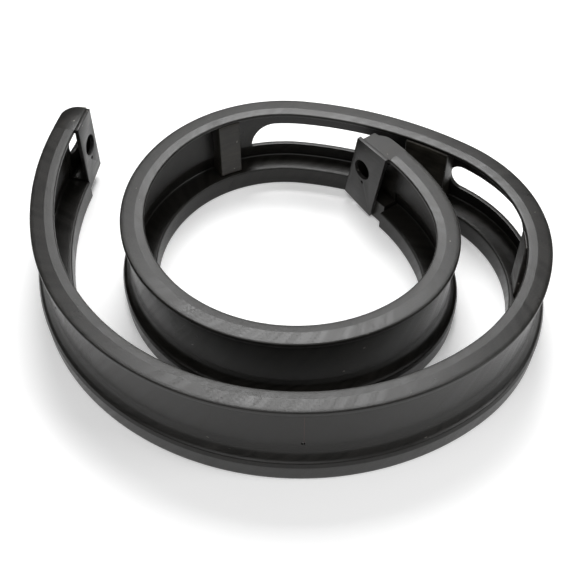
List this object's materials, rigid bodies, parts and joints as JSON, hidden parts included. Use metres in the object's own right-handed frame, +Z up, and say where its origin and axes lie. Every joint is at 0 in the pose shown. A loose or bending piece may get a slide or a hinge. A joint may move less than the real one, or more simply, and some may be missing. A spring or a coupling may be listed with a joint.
{
  "type": "channel seal strip",
  "caption": "Long moulded rubber channel strip with windows in its web and a hollow block at each end, coiled on edge. It looks like a seal for a flat windscreen's lower frame.",
  "frame": {"origin": "centre of the coil's bounding box, on the plane it stands on", "axes": "+Z up, the strip's width, with the flange at the top; +X along the coil's longest side, away from the strip's outer end; +Y away from the side the coil is seen from"},
  "size_m": [0.358, 0.2889, 0.066],
  "materials": {
    "channel_rubber": "satin black moulded synthetic rubber with mould-release bloom",
    "dam_rubber": "satin black rubber, rubbed grey on its faces, with cement squeezed out at the foot",
    "end_plate_rubber": "smooth satin dark grey rubber sheet"
  },
  "bodies": {
    "outer_tail": {"outer_run_1": "channel_rubber", "outer_end_block": "channel_rubber", "outer_end_plate": "end_plate_rubber"},
    "outer_link_2": {"outer_run_2": "channel_rubber"},
    "outer_link_3": {"outer_run_3": "channel_rubber"},
    "outer_link_4": {"outer_run_4": "channel_rubber"},
    "outer_link_5": {"outer_run_5": "channel_rubber"},
    "duct_right": {"duct_channel_right": "channel_rubber", "dam_right": "dam_rubber", "dam_middle": "dam_rubber"},
    "duct_left": {"duct_channel_left": "channel_rubber", "dam_left": "dam_rubber"},
    "inner_link_1": {"inner_run_1": "channel_rubber"},
    "inner_link_2": {"inner_run_2": "channel_rubber"},
    "inner_link_3": {"inner_run_3": "channel_rubber"},
    "inner_link_4": {"inner_run_4": "channel_rubber"},
    "inner_tail": {"inner_run_5": "channel_rubber", "inner_end_block": "channel_rubber", "inner_end_plate": "end_plate_rubber"}
  },
  "joints": [
    {"name": "outer_tail_flex", "type": "hinge", "parent": "outer_link_2", "child": "outer_tail", "pos_m": [-0.17029, -0.00627, 0.033], "axis": [0, 0, 1], "range_deg": [0, 15], "stiffness_Nm_per_rad": 0.3},
    {"name": "outer_bend_1", "type": "hinge", "parent": "outer_link_3", "child": "outer_link_2", "pos_m": [-0.10282, -0.10662, 0.033], "axis": [0, 0, 1], "range_deg": [0, 11.6], "stiffness_Nm_per_rad": 0.3},
    {"name": "outer_bend_2", "type": "hinge", "parent": "outer_link_4", "child": "outer_link_3", "pos_m": [0.01203, -0.14449, 0.033], "axis": [0, 0, 1], "range_deg": [0, 11.6], "stiffness_Nm_per_rad": 0.3},
    {"name": "outer_bend_3", "type": "hinge", "parent": "outer_link_5", "child": "outer_link_4", "pos_m": [0.12595, -0.10396, 0.033], "axis": [0, 0, 1], "range_deg": [0, 11.9], "stiffness_Nm_per_rad": 0.3},
    {"name": "outer_bend_4", "type": "hinge", "parent": "duct_right", "child": "outer_link_5", "pos_m": [0.17763, -0.01535, 0.033], "axis": [0, 0, 1], "range_deg": [0, 15.4], "stiffness_Nm_per_rad": 0.3},
    {"name": "uncoil", "type": "hinge", "parent": "duct_right", "child": "duct_left", "pos_m": [0.09204, 0.11919, 0.033], "axis": [0, 0, -1], "range_deg": [0, 22], "stiffness_Nm_per_rad": 0.3},
    {"name": "inner_bend_1", "type": "hinge", "parent": "duct_left", "child": "inner_link_1", "pos_m": [-0.09002, 0.10042, 0.033], "axis": [0, 0, -1], "range_deg": [0, 20.4], "stiffness_Nm_per_rad": 0.3},
    {"name": "inner_bend_2", "type": "hinge", "parent": "inner_link_1", "child": "inner_link_2", "pos_m": [-0.10889, -0.01336, 0.033], "axis": [0, 0, -1], "range_deg": [0, 17.1], "stiffness_Nm_per_rad": 0.3},
    {"name": "inner_bend_3", "type": "hinge", "parent": "inner_link_2", "child": "inner_link_3", "pos_m": [-0.02488, -0.09239, 0.033], "axis": [0, 0, -1], "range_deg": [0, 17.1], "stiffness_Nm_per_rad": 0.3},
    {"name": "inner_bend_4", "type": "hinge", "parent": "inner_link_3", "child": "inner_link_4", "pos_m": [0.08754, -0.06661, 0.033], "axis": [0, 0, -1], "range_deg": [0, 17.8], "stiffness_Nm_per_rad": 0.3},
    {"name": "inner_end_curl", "type": "hinge", "parent": "inner_link_4", "child": "inner_tail", "pos_m": [0.09331, 0.02224, 0.033], "axis": [0, 0, 1], "range_deg": [0, 12], "stiffness_Nm_per_rad": 0.3}
  ],
  "couplings": [
    {"joint": "outer_bend_1", "follows": "uncoil", "ratio": 0.52},
    {"joint": "outer_bend_2", "follows": "uncoil", "ratio": 0.52},
    {"joint": "outer_bend_3", "follows": "uncoil", "ratio": 0.53},
    {"joint": "outer_bend_4", "follows": "uncoil", "ratio": 0.69},
    {"joint": "inner_bend_1", "follows": "uncoil", "ratio": 0.92},
    {"joint": "inner_bend_2", "follows": "uncoil", "ratio": 0.77},
    {"joint": "inner_bend_3", "follows": "uncoil", "ratio": 0.77},
    {"joint": "inner_bend_4", "follows": "uncoil", "ratio": 0.8}
  ]
}
